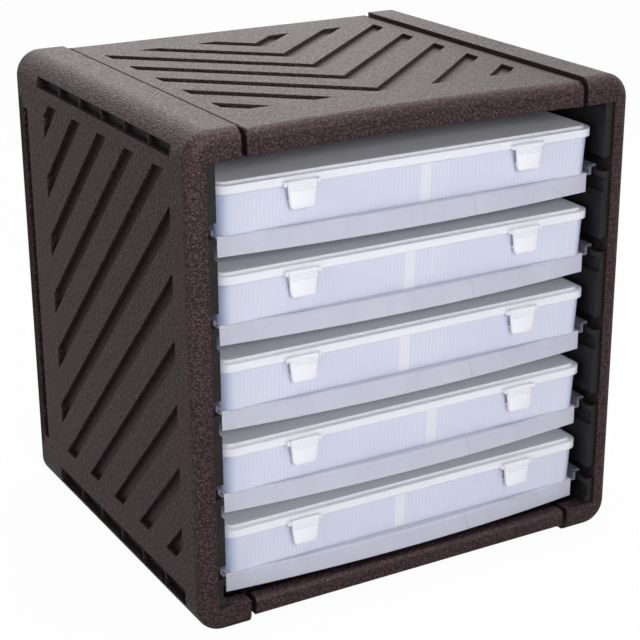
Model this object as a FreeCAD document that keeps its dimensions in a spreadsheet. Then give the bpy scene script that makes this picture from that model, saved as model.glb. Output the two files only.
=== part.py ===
"""Storage rack with five pull-out shelves, each carrying a hinged-lid utility box.

Millimetres, +Z up, origin on the floor under the middle of the rack, front towards -Y.
"""
import FreeCAD, Part
import math
import os

import Sketcher

LEVELS = 5
SLOT_CELLS = 6
Vector = FreeCAD.Vector

# Driving dimensions: alias, value in millimetres or degrees, meaning
DIMENSIONS = [
    ("lid_width", 342, "box lid, outer width"),
    ("lid_depth", 285, "box lid, outer depth"),
    ("lid_corner", 12, "plan radius of the lid corners"),
    ("lid_rim_height", 6.5, "height of the lid's outer rim"),
    ("lid_rim_wall", 2.0, "thickness of the rim"),
    ("lid_fit", 0.6, "clearance between the rim and the box wall"),
    ("lid_plate", 2.1, "thickness of the lid's plate"),
    ("lid_raise", 2.0, "height of the raised middle of the lid"),
    ("lid_raise_inset", 5, "distance from the rim to the raised middle"),
    ("base_height", 36.4, "height of the box without its lid"),
    ("base_wall", 2.0, "box wall"),
    ("base_floor", 2.0, "box floor"),
    ("base_draft", 1.5, "how much each wall leans out from floor to rim"),
    ("hinge_width", 120, "length of hinge pin between its two ears"),
    ("hinge_ear", 4, "thickness of a hinge ear"),
    ("hinge_pin_radius", 1.5, "lid hinge pin"),
    ("hinge_pin_fit", 0.06, "radial running clearance round the hinge pin"),
    ("hinge_hook", 2.9, "reach of the lid's hook round the hinge axis"),
    ("hinge_mouth", 2.4, "opening that lets the hook snap over its pin"),
    ("hinge_drop", 3.2, "hinge axis below the lid's rim"),
    ("hinge_gap", 0.3, "clearance of the hook and the ears"),
    ("latch_spacing", 204, "distance between the two latches of a box"),
    ("latch_top_width", 24.5, "latch flap at its pivot"),
    ("latch_bottom_width", 20.5, "latch flap at its free end"),
    ("latch_drop", 19, "from the pivot to the free end of the flap"),
    ("latch_thickness", 2.0, "latch flap"),
    ("latch_corner", 2.0, "cut lower corners of the flap"),
    ("latch_clip", 2.0, "half width of the clip along the top of the flap"),
    ("latch_mouth", 2.0, "opening that lets the clip snap over its pin"),
    ("latch_pin_radius", 1.2, "latch pivot pin"),
    ("latch_pin_fit", 0.06, "radial running clearance round the pivot pin"),
    ("latch_ear", 2.6, "thickness of an ear on the lid"),
    ("latch_gap", 0.3, "clearance between the latch and what it moves past"),
    ("latch_rise", 1.5, "pivot above the lower edge of the rim"),
    ("latch_bead", 2.4, "height of the bead behind the flap's free end"),
    ("catch_height", 2.0, "height of the catch rib on the box"),
    ("catch_width", 17, "length of the catch rib"),
    ("divider_thickness", 1.6, "divider plate"),
    ("divider_height", 31, "divider plate, height"),
    ("divider_flange", 9.5, "width of the flanges at the ends of the divider"),
    ("divider_flange_thickness", 1.2, "thickness of those flanges"),
    ("divider_fit", 0.3, "clearance between the divider and the box walls"),
    ("divider_guide", 1.4, "width and depth of the guide ribs beside a flange"),
    ("divider_x_1", -9.5, "divider place in the lowest box"),
    ("divider_x_2", 20, "divider place in the second box"),
    ("divider_x_3", -7, "divider place in the third box"),
    ("divider_x_4", -3, "divider place in the fourth box"),
    ("divider_x_5", 10.5, "divider place in the top box"),
    ("sheet", 2.2, "thickness of the shelf"),
    ("deck_drop", 3, "deck of the shelf below its side flanges"),
    ("shelf_fit", 1.5, "side clearance of the shelf in the runners"),
    ("shelf_rear_gap", 5, "shelf clear of the back panel"),
    ("tab_setback", 17, "front end of the flange behind the runner's front"),
    ("lip_height", 16, "drop-down front lip of the shelf"),
    ("lip_bow", 9, "how far the middle of the lip stands forward"),
    ("lip_setback", 15, "ends of the lip behind the rack's front"),
    ("lip_end_inset", 2.8, "ends of the lip inside the shelf's side walls"),
    ("lip_bevel", 1.3, "bevel between deck and lip"),
    ("lip_gap", 12.4, "clearance between a lid and the lip above it"),
    ("floor_gap", 4, "clearance under the lowest lip"),
    ("headroom", 19.9, "clearance above the top lid"),
    ("box_side_clearance", 3.5, "lid to runner, each side"),
    ("front_setback", 9.5, "lid behind the rack's front"),
    ("back_room", 40.5, "from the lid to the rack's back"),
    ("strip_width", 7.5, "runner, width of the strip seen from the front"),
    ("strip_setback", 2, "runner behind the rack's front"),
    ("groove_height", 12, "runner groove above a ledge"),
    ("groove_depth", 7.5, "runner groove, depth"),
    ("ledge_thickness", 5, "runner ledge"),
    ("recess_height", 12, "shallow recess under a ledge"),
    ("recess_depth", 2.5, "depth of that recess"),
    ("nose_width", 15.5, "side panel, width of its front edge"),
    ("nose_depth", 14, "side panel, depth of its front edge"),
    ("nose_height", 22, "front edge of the top and bottom returns"),
    ("nose_radius", 10, "rounding of the side panel's front edge"),
    ("side_skin", 8, "side panel wall"),
    ("return_width", 43.5, "side panel return over the top and bottom"),
    ("return_skin", 6, "thickness of the returns"),
    ("corner_radius", 21, "long outer corners of the rack"),
    ("bar_width", 13, "side panel recess bars, width"),
    ("bar_pitch", 36.7, "side panel recess bars, pitch across them"),
    ("bar_angle", 45, "side panel recess bars, slope"),
    ("bar_depth", 5, "side panel recess bars, depth"),
    ("bar_front_margin", 30.5, "bar field to the front of the side"),
    ("bar_back_margin", 57.5, "bar field to the back of the side"),
    ("bar_top_margin", 33, "bar field to the top of the side"),
    ("bar_bottom_margin", 52, "bar field to the bottom of the side"),
    ("slot_depth", 3, "rim grooves of the side panel, down to their ribs"),
    ("slot_rib", 2, "ribs left across the rim grooves"),
    ("slot_front_margin", 28, "rim slots to the front"),
    ("slot_back_margin", 46, "rim slots to the back"),
    ("top_slot_height", 9, "upper rim slot"),
    ("top_slot_inset", 13, "upper rim slot below the top"),
    ("bottom_slot_height", 15, "lower rim slot"),
    ("bottom_slot_inset", 14, "lower rim slot above the floor"),
    ("back_slot_width", 11, "rear rim slot"),
    ("back_slot_inset", 9, "rear rim slot to the back"),
    ("back_slot_margin", 46, "ends of the rear rim slot to the top and floor"),
    ("panel_gap", 4.5, "top and bottom panels to the returns"),
    ("top_sunk", 2.5, "top panel below the returns"),
    ("top_skin", 9, "top panel"),
    ("top_bow", 8, "how far the top panel's front edge bows in"),
    ("panel_nose_depth", 12, "front edge of the top and bottom panels"),
    ("top_nose_radius", 8, "rounding of the top panel's front edge"),
    ("bottom_nose_radius", 4, "rounding of the bottom panel's front edge"),
    ("bottom_raised", 6.5, "bottom panel above the floor"),
    ("bottom_skin", 9, "bottom panel"),
    ("tongue", 4, "thickness of the panel tongues inside the returns"),
    ("tongue_inset", 5.5, "tongue to the side panel's wall"),
    ("tongue_fit", 0.5, "tongue behind the nose"),
    ("chevron_width", 13, "chevron bars of the top panel, width"),
    ("chevron_pitch", 50.6, "chevron bars, pitch from front to back"),
    ("chevron_angle", 42.5, "slope of the chevron arms"),
    ("chevron_depth", 3.5, "depth of the chevron bars"),
    ("chevron_apex", 2.2, "place of the middle chevron's inner corner"),
    ("chevron_side_margin", 15.5, "chevron field to the panel's sides"),
    ("chevron_front_margin", 57.5, "chevron field to the front"),
    ("chevron_back_margin", 39.5, "chevron field to the back"),
    ("back_sheet", 4, "back panel"),
    ("back_inset", 6.5, "back panel inside the rack's back"),
]

# Places that follow from the driving dimensions: alias, formula
LAYOUT = [
    ("half_width", "Dims.lid_width / 2 + Dims.box_side_clearance + Dims.strip_width + Dims.nose_width"),
    ("half_depth", "(Dims.front_setback + Dims.lid_depth + Dims.back_room) / 2"),
    ("nose_inner", "half_width - Dims.nose_width"),
    ("runner_inner", "nose_inner - Dims.strip_width"),
    ("skin_inner", "half_width - Dims.side_skin"),
    ("return_inner", "half_width - Dims.return_width"),
    ("panel_half", "return_inner - Dims.panel_gap"),
    ("tongue_outer", "skin_inner - Dims.tongue_inset"),
    ("rim_top", "Dims.base_height + Dims.lid_plate"),
    ("rim_bottom", "rim_top - Dims.lid_rim_height"),
    ("lid_top", "rim_top + Dims.lid_raise"),
    ("level_pitch", "lid_top + Dims.lip_gap + Dims.lip_height"),
    ("first_ledge", "Dims.nose_height + Dims.floor_gap + Dims.lip_height + Dims.deck_drop"),
    ("first_deck", "first_ledge - Dims.deck_drop"),
    ("height", f"first_deck + {LEVELS - 1} * level_pitch + lid_top + Dims.headroom + Dims.nose_height"),
    ("front", "-half_depth"),
    ("nose_back", "front + Dims.nose_depth"),
    ("back_face", "half_depth - Dims.back_inset - Dims.back_sheet"),
    ("top_face", "height - Dims.top_sunk"),
    ("top_under", "top_face - Dims.top_skin"),
    ("bottom_over", "Dims.bottom_raised + Dims.bottom_skin"),
    ("runner_bottom", "Dims.return_skin + Dims.tongue"),
    ("runner_top", "height - Dims.return_skin - Dims.tongue"),
    ("lid_half", "Dims.lid_width / 2"),
    ("lid_front", "front + Dims.front_setback"),
    ("lid_back", "lid_front + Dims.lid_depth"),
    ("base_inset", "Dims.lid_rim_wall + Dims.lid_fit"),
    ("foot_inset", "base_inset + Dims.base_draft"),
    ("cell_inset", "foot_inset + Dims.base_wall"),
    ("base_back", "lid_back - base_inset"),
    ("mouth_inset", "base_inset + Dims.base_wall"),
    ("cell_front", "lid_front + cell_inset"),
    ("cell_back", "lid_back - cell_inset"),
    ("lean", "Dims.base_draft / Dims.base_height"),
    ("base_corner", "Dims.lid_corner - base_inset"),
    ("cell_cut", "0.75 * (base_corner - Dims.base_wall)"),
    ("rim_cut", "0.55 * (Dims.lid_corner - Dims.lid_rim_wall)"),
    ("hinge_y", "lid_back + Dims.hinge_hook"),
    ("hinge_z", "rim_bottom - Dims.hinge_drop"),
    ("latch_y", "lid_front - Dims.latch_gap - Dims.latch_clip / cos(22.5)"),
    ("latch_z", "rim_bottom + Dims.latch_rise"),
    ("flap_outer", "latch_y - Dims.latch_clip"),
    ("flap_inner", "flap_outer + Dims.latch_thickness"),
    ("flap_end", "latch_z - Dims.latch_drop"),
    ("latch_reach", "Dims.latch_top_width / 2 + Dims.latch_gap + Dims.latch_ear"),
    ("bead_bottom", "flap_end + Dims.latch_corner / 2"),
    ("catch_bottom", "bead_bottom + Dims.latch_bead + Dims.latch_gap"),
    ("step_outer", "runner_inner - Dims.shelf_fit"),
    ("step_inner", "step_outer - Dims.sheet"),
    ("flange_outer", "runner_inner + Dims.groove_depth - Dims.shelf_fit"),
    ("lip_half", "step_inner - Dims.lip_end_inset"),
    ("lip_end", "front + Dims.lip_setback"),
    ("shelf_back", "back_face - Dims.shelf_rear_gap"),
    ("tab_front", "front + Dims.strip_setback + Dims.tab_setback"),
    ("bar_run", "2 * half_depth - Dims.bar_front_margin - Dims.bar_back_margin"),
    ("bar_rise", "height - Dims.bar_top_margin - Dims.bar_bottom_margin"),
    ("bar_reach", "bar_run + bar_rise"),
    ("slot_run", "2 * half_depth - Dims.slot_front_margin - Dims.slot_back_margin"),
    ("slot_cell", f"(slot_run - {SLOT_CELLS - 1} * Dims.slot_rib) / {SLOT_CELLS}"),
    ("chevron_half", "panel_half - Dims.chevron_side_margin"),
    ("chevron_run", "2 * half_depth - Dims.chevron_front_margin - Dims.chevron_back_margin"),
    ("chevron_step", "Dims.chevron_pitch * cos(Dims.chevron_angle)"),
    ("chevron_reach", "2 * (chevron_half + chevron_run)"),
]

doc = FreeCAD.newDocument("storage_rack")
nodes = {}


def fill_sheets():
    """Write the driving dimensions as numbers and the layout as formulas."""
    dims = doc.addObject("Spreadsheet::Sheet", "Dims")
    for row, (alias, value, meaning) in enumerate(DIMENSIONS, 1):
        dims.set(f"A{row}", meaning)
        dims.set(f"B{row}", str(value))
        dims.setAlias(f"B{row}", alias)
    layout = doc.addObject("Spreadsheet::Sheet", "Layout")
    doc.recompute()
    for row, (alias, formula) in enumerate(LAYOUT, 1):
        layout.set(f"A{row}", alias)
        layout.set(f"B{row}", "=" + formula)
        layout.setAlias(f"B{row}", alias)
        doc.recompute()
    return dims, layout


dims, layout = fill_sheets()


def level_height(level, base):
    """Formula for a height that repeats at every level, counted from the bottom."""
    return f"Layout.{base} + {level - 1} * Layout.level_pitch"


def new_body(name):
    return doc.addObject("PartDesign::Body", name)


def new_sketch(body, plane, name, offset="0"):
    """Sketch on one of the body's origin planes, moved along the plane's normal."""
    sketch = body.newObject("Sketcher::SketchObject", name)
    support = [feature for feature in body.Origin.OriginFeatures if feature.Role == plane][0]
    sketch.AttachmentSupport = [(support, "")]
    sketch.MapMode = "FlatFace"
    sketch.setExpression("AttachmentOffset.Base.z", offset)
    return sketch


def value_of(sketch, formula):
    return float(sketch.evalExpression(formula))


def bind(sketch, constraint, formula):
    index = sketch.addConstraint(constraint)
    sketch.setExpression(f"Constraints[{index}]", formula)


def add_segment(sketch, start, end, middle=None):
    """Line, or arc through middle; returns its index and which of its ends is the start."""
    if middle is None:
        return sketch.addGeometry(Part.LineSegment(start, end), False), 1, 2
    index = sketch.addGeometry(Part.Arc(start, middle, end), False)
    if sketch.getPoint(index, 1).distanceToPoint(start) < sketch.getPoint(index, 2).distanceToPoint(start):
        return index, 1, 2
    return index, 2, 1


def outline(sketch, corners):
    """Closed outline through corners (x, y), (x, y, radius) or (x, y, None, bow).

    A radius rounds a right-angled corner whose edges follow the sketch axes. A bow turns the
    level edge that leaves the corner into an arc, bulging towards lower y when it is positive.
    """
    spots = [Vector(value_of(sketch, c[0]), value_of(sketch, c[1]), 0) for c in corners]
    count = len(corners)
    pieces = []
    for i, corner in enumerate(corners):
        x, y = corner[:2]
        if len(corner) == 3:
            size = value_of(sketch, corner[2])
            back = (spots[i - 1] - spots[i]).normalize()
            ahead = (spots[(i + 1) % count] - spots[i]).normalize()
            ends = [
                (f"{x} + {round(way.x)} * ({corner[2]})", f"{y} + {round(way.y)} * ({corner[2]})")
                for way in (back, ahead)
            ]
            middle = spots[i] + (back + ahead) * size * (1 - math.sqrt(0.5))
            pieces.append((ends[0], middle, corner[2]))
            pieces.append((ends[1], None, None))
        elif len(corner) == 4:
            far = corners[(i + 1) % count]
            chord = f"({far[0]} - ({x})) / 2"
            radius = f"(({chord}) ^ 2 + ({corner[3]}) ^ 2) / (2 * abs({corner[3]}))"
            middle = (spots[i] + spots[(i + 1) % count]) / 2 - Vector(0, value_of(sketch, corner[3]), 0)
            pieces.append(((x, y), middle, radius))
        else:
            pieces.append(((x, y), None, None))
    points = [Vector(value_of(sketch, p[0][0]), value_of(sketch, p[0][1]), 0) for p in pieces]
    total = len(pieces)
    segments = [
        add_segment(sketch, points[i], points[(i + 1) % total], pieces[i][1]) for i in range(total)
    ]
    for i in range(total):
        index, first, _ = segments[i]
        before, _, last = segments[i - 1]
        sketch.addConstraint(Sketcher.Constraint("Coincident", before, last, index, first))
        (x, y), _, radius = pieces[i]
        bind(sketch, Sketcher.Constraint("DistanceX", index, first, points[i].x), x)
        bind(sketch, Sketcher.Constraint("DistanceY", index, first, points[i].y), y)
        if radius is not None:
            bind(sketch, Sketcher.Constraint("Radius", index, value_of(sketch, radius)), radius)


def rectangle(sketch, x0, y0, x1, y1, radius=None):
    tail = () if radius is None else (radius,)
    outline(sketch, [(x0, y0) + tail, (x1, y0) + tail, (x1, y1) + tail, (x0, y1) + tail])


def circle(sketch, x, y, radius):
    centre = Vector(value_of(sketch, x), value_of(sketch, y), 0)
    shape = Part.Circle(centre, Vector(0, 0, 1), value_of(sketch, radius))
    index = sketch.addGeometry(shape, False)
    bind(sketch, Sketcher.Constraint("DistanceX", index, 3, centre.x), x)
    bind(sketch, Sketcher.Constraint("DistanceY", index, 3, centre.y), y)
    bind(sketch, Sketcher.Constraint("Radius", index, value_of(sketch, radius)), radius)


def snap_pin(sketch, x, y, radius):
    """Round pin with a flat underneath, where a clip is pushed on."""
    half, low = f"{radius} * sqrt(3) / 2", f"{y} - {radius} / 2"
    outline(sketch, [(f"{x} - {half}", low, None, f"-1.5 * {radius}"), (f"{x} + {half}", low)])


def octagon(sketch, x, y, half):
    """Regular octagon with two level sides, by the half distance across its flats."""
    side = f"{half} * tan(22.5)"
    corners = []
    for way in ((1, -1), (1, 1), (-1, 1), (-1, -1)):
        flat = (f"{x} + {way[0]} * {half}", f"{y} + {way[1]} * {side}")
        level = (f"{x} + {way[0]} * {side}", f"{y} + {way[1]} * {half}")
        corners += [flat, level] if way[0] == way[1] else [level, flat]
    outline(sketch, corners)


def sweep(body, kind, sketch, name, length, reverse=False, both=False):
    """Pad or pocket a sketch by a length, to one side of it or to both."""
    feature = body.newObject("PartDesign::" + kind, name)
    feature.Profile = sketch
    feature.Reversed = reverse
    feature.setExpression("Length", length)
    if both:
        feature.SideType = "Symmetric"
    return feature


def pad(body, sketch, name, length, **options):
    return sweep(body, "Pad", sketch, name, length, **options)


def pocket(body, sketch, name, length, **options):
    """Pocket that has to take material away."""
    doc.recompute()
    before = body.Shape.Volume
    feature = sweep(body, "Pocket", sketch, name, length, **options)
    doc.recompute()
    if body.Shape.Volume > before - 1e-3:
        raise ValueError(f"{body.Name}: {name} cuts nothing")
    return feature


def ease_edges(body, kind, name, size, chosen):
    """Fillet or chamfer the edges of the body that the test picks."""
    doc.recompute()
    base = body.Tip
    names = [f"Edge{i}" for i, edge in enumerate(base.Shape.Edges, 1) if chosen(edge)]
    if not names:
        raise ValueError(f"{body.Name}: {name} finds no edge")
    eased = body.newObject("PartDesign::" + kind, name)
    eased.Base = (base, names)
    eased.setExpression("Radius" if kind == "Fillet" else "Size", size)


def round_edges(body, name, radius, chosen):
    ease_edges(body, "Fillet", name, radius, chosen)


def bevel_edges(body, name, size, chosen):
    ease_edges(body, "Chamfer", name, size, chosen)


def near(one, other):
    return abs(one - other) < 1e-4


def level_edge(edge, z):
    return near(edge.BoundBox.ZMin, z) and near(edge.BoundBox.ZMax, z)


def block(name, corner, sizes):
    """Box between a corner and its opposite, both as formulas."""
    box = doc.addObject("Part::Box", name)
    for axis, formula in zip("xyz", corner):
        box.setExpression(f"Placement.Base.{axis}", formula)
    for side, formula in zip(("Length", "Width", "Height"), sizes):
        box.setExpression(side, formula)
    return box


def bar_field(name, bars, corner, sizes, turn, place, angle):
    """Parallel bars, turned and placed together, then trimmed to a rectangular field."""
    group = doc.addObject("Part::Compound", name + "_bars")
    group.Links = bars
    group.Placement = FreeCAD.Placement(Vector(), FreeCAD.Rotation(turn, 1))
    group.setExpression("Placement.Rotation.Angle", angle)
    for axis, formula in zip("xyz", place):
        group.setExpression(f"Placement.Base.{axis}", formula)
    field = doc.addObject("Part::Common", name)
    field.Base = group
    field.Tool = block(name + "_limits", corner, sizes)
    return field


def cut(label, base, tool):
    result = doc.addObject("Part::Cut", label)
    result.Base = base
    result.Tool = tool
    keep(label, result)


def keep(label, item):
    item.Label = label
    nodes[label] = item


def side_panel(side, sign):
    """Moulded side: C section, closed front edge, ribbed rim slots and diagonal recess bars."""
    def across(place):
        return f"{sign} * Layout.{place}"

    body = new_body(side + "_side_shell")
    mouth = across("return_inner")
    outer = across("half_width")
    top = "Layout.height"
    section = new_sketch(body, "XZ_Plane", side + "_section")
    outline(section, [
        (mouth, "0"),
        (outer, "0", "Dims.corner_radius"),
        (outer, top, "Dims.corner_radius"),
        (mouth, top),
        (mouth, top + " - Dims.return_skin"),
        (across("skin_inner"), top + " - Dims.return_skin", "Dims.tongue"),
        (across("skin_inner"), "Dims.return_skin", "Dims.tongue"),
        (mouth, "Dims.return_skin"),
    ])
    pad(body, section, side + "_wall", "2 * Layout.half_depth", both=True)
    face = new_sketch(body, "XZ_Plane", side + "_front", "Layout.half_depth")
    outline(face, [
        (mouth, "0"),
        (outer, "0", "Dims.corner_radius"),
        (outer, top, "Dims.corner_radius"),
        (mouth, top),
        (mouth, top + " - Dims.nose_height"),
        (across("nose_inner"), top + " - Dims.nose_height"),
        (across("nose_inner"), "Dims.nose_height"),
        (mouth, "Dims.nose_height"),
    ])
    pad(body, face, side + "_nose", "Dims.nose_depth", reverse=True)

    def on_front_rim(edge):
        box = edge.BoundBox
        if not (near(box.YMin, layout.front) and near(box.YMax, layout.front)):
            return False
        farthest = max(abs(box.XMin), abs(box.XMax))
        outside = farthest > layout.half_width - 1e-4 and box.XLength < dims.corner_radius
        upright = level_edge(edge, 0) or level_edge(edge, layout.height)
        bend = edge.Curve.TypeId == "Part::GeomCircle"
        return outside or upright or bend

    round_edges(body, side + "_nose_rounding", "Dims.nose_radius", on_front_rim)
    rim_slots(body, side, sign)

    n = int(layout.bar_reach / dims.bar_pitch / 2)
    bars = [
        block(
            f"{side}_bar_{k + n}",
            ("0", "-Layout.bar_reach / 2", f"{k} * Dims.bar_pitch - Dims.bar_width / 2"),
            ("Dims.bar_depth", "Layout.bar_reach", "Dims.bar_width"),
        )
        for k in range(-n, n + 1)
    ]
    start = "-Layout.half_width" if sign < 0 else "Layout.half_width - Dims.bar_depth"
    low = ("Layout.front + Dims.bar_front_margin", "Dims.bar_bottom_margin")
    field = bar_field(
        side + "_bar_field",
        bars,
        (start,) + low,
        ("Dims.bar_depth", "Layout.bar_run", "Layout.bar_rise"),
        Vector(1, 0, 0),
        (start, low[0] + " + Layout.bar_run / 2", low[1] + " + Layout.bar_rise / 2"),
        "-Dims.bar_angle",
    )
    cut(side + "_side_panel", body, field)


def rim_slots(body, side, sign):
    """Grooves along the top and floor of the outer face, open between sunk ribs, and an open slot behind."""
    outside = f"{sign} * Layout.half_width"
    grooves = new_sketch(body, "YZ_Plane", side + "_groove_outlines", outside)
    slots = new_sketch(body, "YZ_Plane", side + "_slot_outlines", outside)
    rows = (
        ("Layout.height - Dims.top_slot_inset - Dims.top_slot_height", "Dims.top_slot_height"),
        ("Dims.bottom_slot_inset", "Dims.bottom_slot_height"),
    )
    first = "Layout.front + Dims.slot_front_margin"
    for low, tall in rows:
        rectangle(grooves, first, low, first + " + Layout.slot_run", f"{low} + {tall}")
        for cell in range(SLOT_CELLS):
            start = f"{first} + {cell} * (Layout.slot_cell + Dims.slot_rib)"
            rectangle(slots, start, low, start + " + Layout.slot_cell", f"{low} + {tall}")
    rear = "Layout.half_depth - Dims.back_slot_inset"
    rectangle(
        slots,
        rear + " - Dims.back_slot_width",
        "Dims.back_slot_margin",
        rear,
        "Layout.height - Dims.back_slot_margin",
    )
    pocket(body, grooves, side + "_rim_grooves", "Dims.slot_depth", reverse=sign < 0)
    pocket(body, slots, side + "_rim_slots", "Dims.side_skin", reverse=sign < 0)


def add_tongue(body, name, low):
    """Flat tongue that runs into the hollow of both side panels."""
    sketch = new_sketch(body, "XY_Plane", name + "_outline", low)
    rectangle(
        sketch,
        "-Layout.tongue_outer",
        "Layout.nose_back + Dims.tongue_fit",
        "Layout.tongue_outer",
        "Layout.back_face",
    )
    pad(body, sketch, name, "Dims.tongue")


def top_panel():
    """Sunk top with a rolled front edge that bows in, and chevron recesses."""
    body = new_body("top_shell")
    left, right = "-Layout.panel_half", "Layout.panel_half"
    plate = new_sketch(body, "XY_Plane", "top_plate_outline", "Layout.top_under")
    outline(plate, [
        (left, "Layout.front", None, "-Dims.top_bow"),
        (right, "Layout.front"),
        (right, "Layout.half_depth"),
        (left, "Layout.half_depth"),
    ])
    pad(body, plate, "top_plate", "Dims.top_skin")
    rear = "Layout.front + Dims.top_bow + Dims.panel_nose_depth"
    nose = new_sketch(body, "XY_Plane", "top_nose_outline", "Layout.height - Dims.nose_height")
    outline(nose, [
        (left, "Layout.front", None, "-Dims.top_bow"),
        (right, "Layout.front"),
        (right, rear),
        (left, rear),
    ])
    pad(body, nose, "top_nose", "Dims.nose_height - Dims.top_sunk")
    round_edges(
        body,
        "top_nose_rounding",
        "Dims.top_nose_radius",
        lambda edge: level_edge(edge, layout.top_face) and edge.Curve.TypeId == "Part::GeomCircle",
    )
    add_tongue(body, "top_tongue", "Layout.height - Dims.return_skin - Dims.tongue")

    n = int(layout.chevron_reach / layout.chevron_step / 2)
    bars = [
        block(
            f"chevron_bar_{k + n}",
            ("-Layout.chevron_reach / 2", f"{k} * Layout.chevron_step - Dims.chevron_width", "0"),
            ("Layout.chevron_reach", "Dims.chevron_width", "Dims.chevron_depth"),
        )
        for k in range(-n, n + 1)
    ]
    floor = "Layout.top_face - Dims.chevron_depth"
    arms = bar_field(
        "left_chevron_arms",
        bars,
        ("-Layout.chevron_half", "Layout.front + Dims.chevron_front_margin", floor),
        ("Layout.chevron_half", "Layout.chevron_run", "Dims.chevron_depth"),
        Vector(0, 0, 1),
        ("0", "Dims.chevron_apex", floor),
        "-Dims.chevron_angle",
    )
    mirrored = doc.addObject("Part::Mirroring", "right_chevron_arms")
    mirrored.Source = arms
    mirrored.Normal = Vector(1, 0, 0)
    chevrons = doc.addObject("Part::MultiFuse", "chevrons")
    chevrons.Shapes = [arms, mirrored]
    cut("top_panel", body, chevrons)


def bottom_panel():
    """Floor of the rack, with a straight front edge as high as the side panels' returns."""
    body = new_body("bottom_panel")
    left, right = "-Layout.panel_half", "Layout.panel_half"
    plate = new_sketch(body, "XY_Plane", "bottom_plate_outline", "Dims.bottom_raised")
    rectangle(plate, left, "Layout.front", right, "Layout.half_depth")
    pad(body, plate, "bottom_plate", "Dims.bottom_skin")
    nose = new_sketch(body, "XY_Plane", "bottom_nose_outline", "Dims.bottom_raised")
    rectangle(nose, left, "Layout.front", right, "Layout.front + Dims.panel_nose_depth")
    pad(body, nose, "bottom_nose", "Dims.nose_height - Dims.bottom_raised")

    def on_front(edge):
        in_front = near(edge.BoundBox.YMin, layout.front) and near(edge.BoundBox.YMax, layout.front)
        return in_front and (level_edge(edge, dims.bottom_raised) or level_edge(edge, dims.nose_height))

    round_edges(body, "bottom_nose_rounding", "Dims.bottom_nose_radius", on_front)
    add_tongue(body, "bottom_tongue", "Dims.return_skin")
    keep("bottom_panel", body)


def back_panel():
    sheet = block(
        "back_panel",
        ("-Layout.skin_inner", "Layout.back_face", "Layout.bottom_over"),
        ("2 * Layout.skin_inner", "Dims.back_sheet", "Layout.top_under - Layout.bottom_over"),
    )
    keep("back_panel", sheet)


def runner(side, sign):
    """Inner panel of one side, grooved once for every shelf."""
    body = new_body(side + "_runner")
    inner = f"{sign} * Layout.runner_inner"
    main = new_sketch(body, "XZ_Plane", side + "_runner_outline", "-Layout.nose_back")
    rectangle(main, inner, "Layout.runner_bottom", f"{sign} * Layout.skin_inner", "Layout.runner_top")
    pad(body, main, side + "_runner_plate", "Layout.back_face - Layout.nose_back", reverse=True)
    strip = new_sketch(body, "XZ_Plane", side + "_strip_outline", "-Layout.nose_back")
    rectangle(
        strip,
        inner,
        "Dims.nose_height",
        f"{sign} * Layout.nose_inner",
        "Layout.height - Dims.nose_height",
    )
    pad(body, strip, side + "_strip", "Dims.nose_depth - Dims.strip_setback")
    levels = new_sketch(body, "XZ_Plane", side + "_level_outlines", "Layout.half_depth")
    for level in range(1, LEVELS + 1):
        ledge = level_height(level, "first_ledge")
        groove = f"{sign} * (Layout.runner_inner + Dims.groove_depth)"
        rectangle(levels, inner, ledge, groove, ledge + " + Dims.groove_height")
        under = ledge + " - Dims.ledge_thickness"
        recess = f"{sign} * (Layout.runner_inner + Dims.recess_depth)"
        rectangle(levels, inner, under + " - Dims.recess_height", recess, under)
    pocket(body, levels, side + "_level_grooves", "2 * Layout.half_depth")
    keep(side + "_runner", body)


def shelf(level):
    """Shelf with side flanges above its deck and a bowed lip that drops from the front edge."""
    body = new_body(f"shelf_{level}")
    deck_top = "-Dims.deck_drop"
    deck_under = "-Dims.deck_drop - Dims.sheet"
    wall, edge_in = "Layout.step_outer", "Layout.step_inner"
    deck = new_sketch(body, "XY_Plane", f"deck_outline_{level}", deck_under)
    outline(deck, [
        (f"-{wall}", "Layout.lip_end"),
        ("-Layout.lip_half", "Layout.lip_end", None, "Dims.lip_bow"),
        ("Layout.lip_half", "Layout.lip_end"),
        (wall, "Layout.lip_end"),
        (wall, "Layout.shelf_back"),
        (f"-{wall}", "Layout.shelf_back"),
    ])
    pad(body, deck, f"deck_{level}", "Dims.sheet")
    walls = new_sketch(body, "XZ_Plane", f"step_outlines_{level}", "-Layout.lip_end")
    flanges = new_sketch(body, "XZ_Plane", f"flange_outlines_{level}", "-Layout.tab_front")
    for sign in (-1, 1):
        rectangle(walls, f"{sign} * {edge_in}", deck_under, f"{sign} * {wall}", "Dims.sheet")
        rectangle(flanges, f"{sign} * {edge_in}", "0", f"{sign} * Layout.flange_outer", "Dims.sheet")
    pad(body, walls, f"steps_{level}", "Layout.shelf_back - Layout.lip_end", reverse=True)
    pad(body, flanges, f"flanges_{level}", "Layout.shelf_back - Layout.tab_front", reverse=True)
    lip = new_sketch(body, "XY_Plane", f"lip_outline_{level}", "-Dims.deck_drop - Dims.lip_height")
    outline(lip, [
        ("-Layout.lip_half", "Layout.lip_end", None, "Dims.lip_bow"),
        ("Layout.lip_half", "Layout.lip_end"),
        ("Layout.lip_half", "Layout.lip_end + Dims.sheet", None, "Dims.lip_bow"),
        ("-Layout.lip_half", "Layout.lip_end + Dims.sheet"),
    ])
    pad(body, lip, f"lip_{level}", "Dims.lip_height")

    def on_lip(edge):
        return level_edge(edge, -dims.deck_drop) and edge.Curve.TypeId == "Part::GeomCircle"

    bevel_edges(body, f"lip_bevel_{level}", "Dims.lip_bevel", on_lip)
    body.setExpression("Placement.Base.z", level_height(level, "first_ledge"))
    keep(f"shelf_{level}", body)


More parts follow.
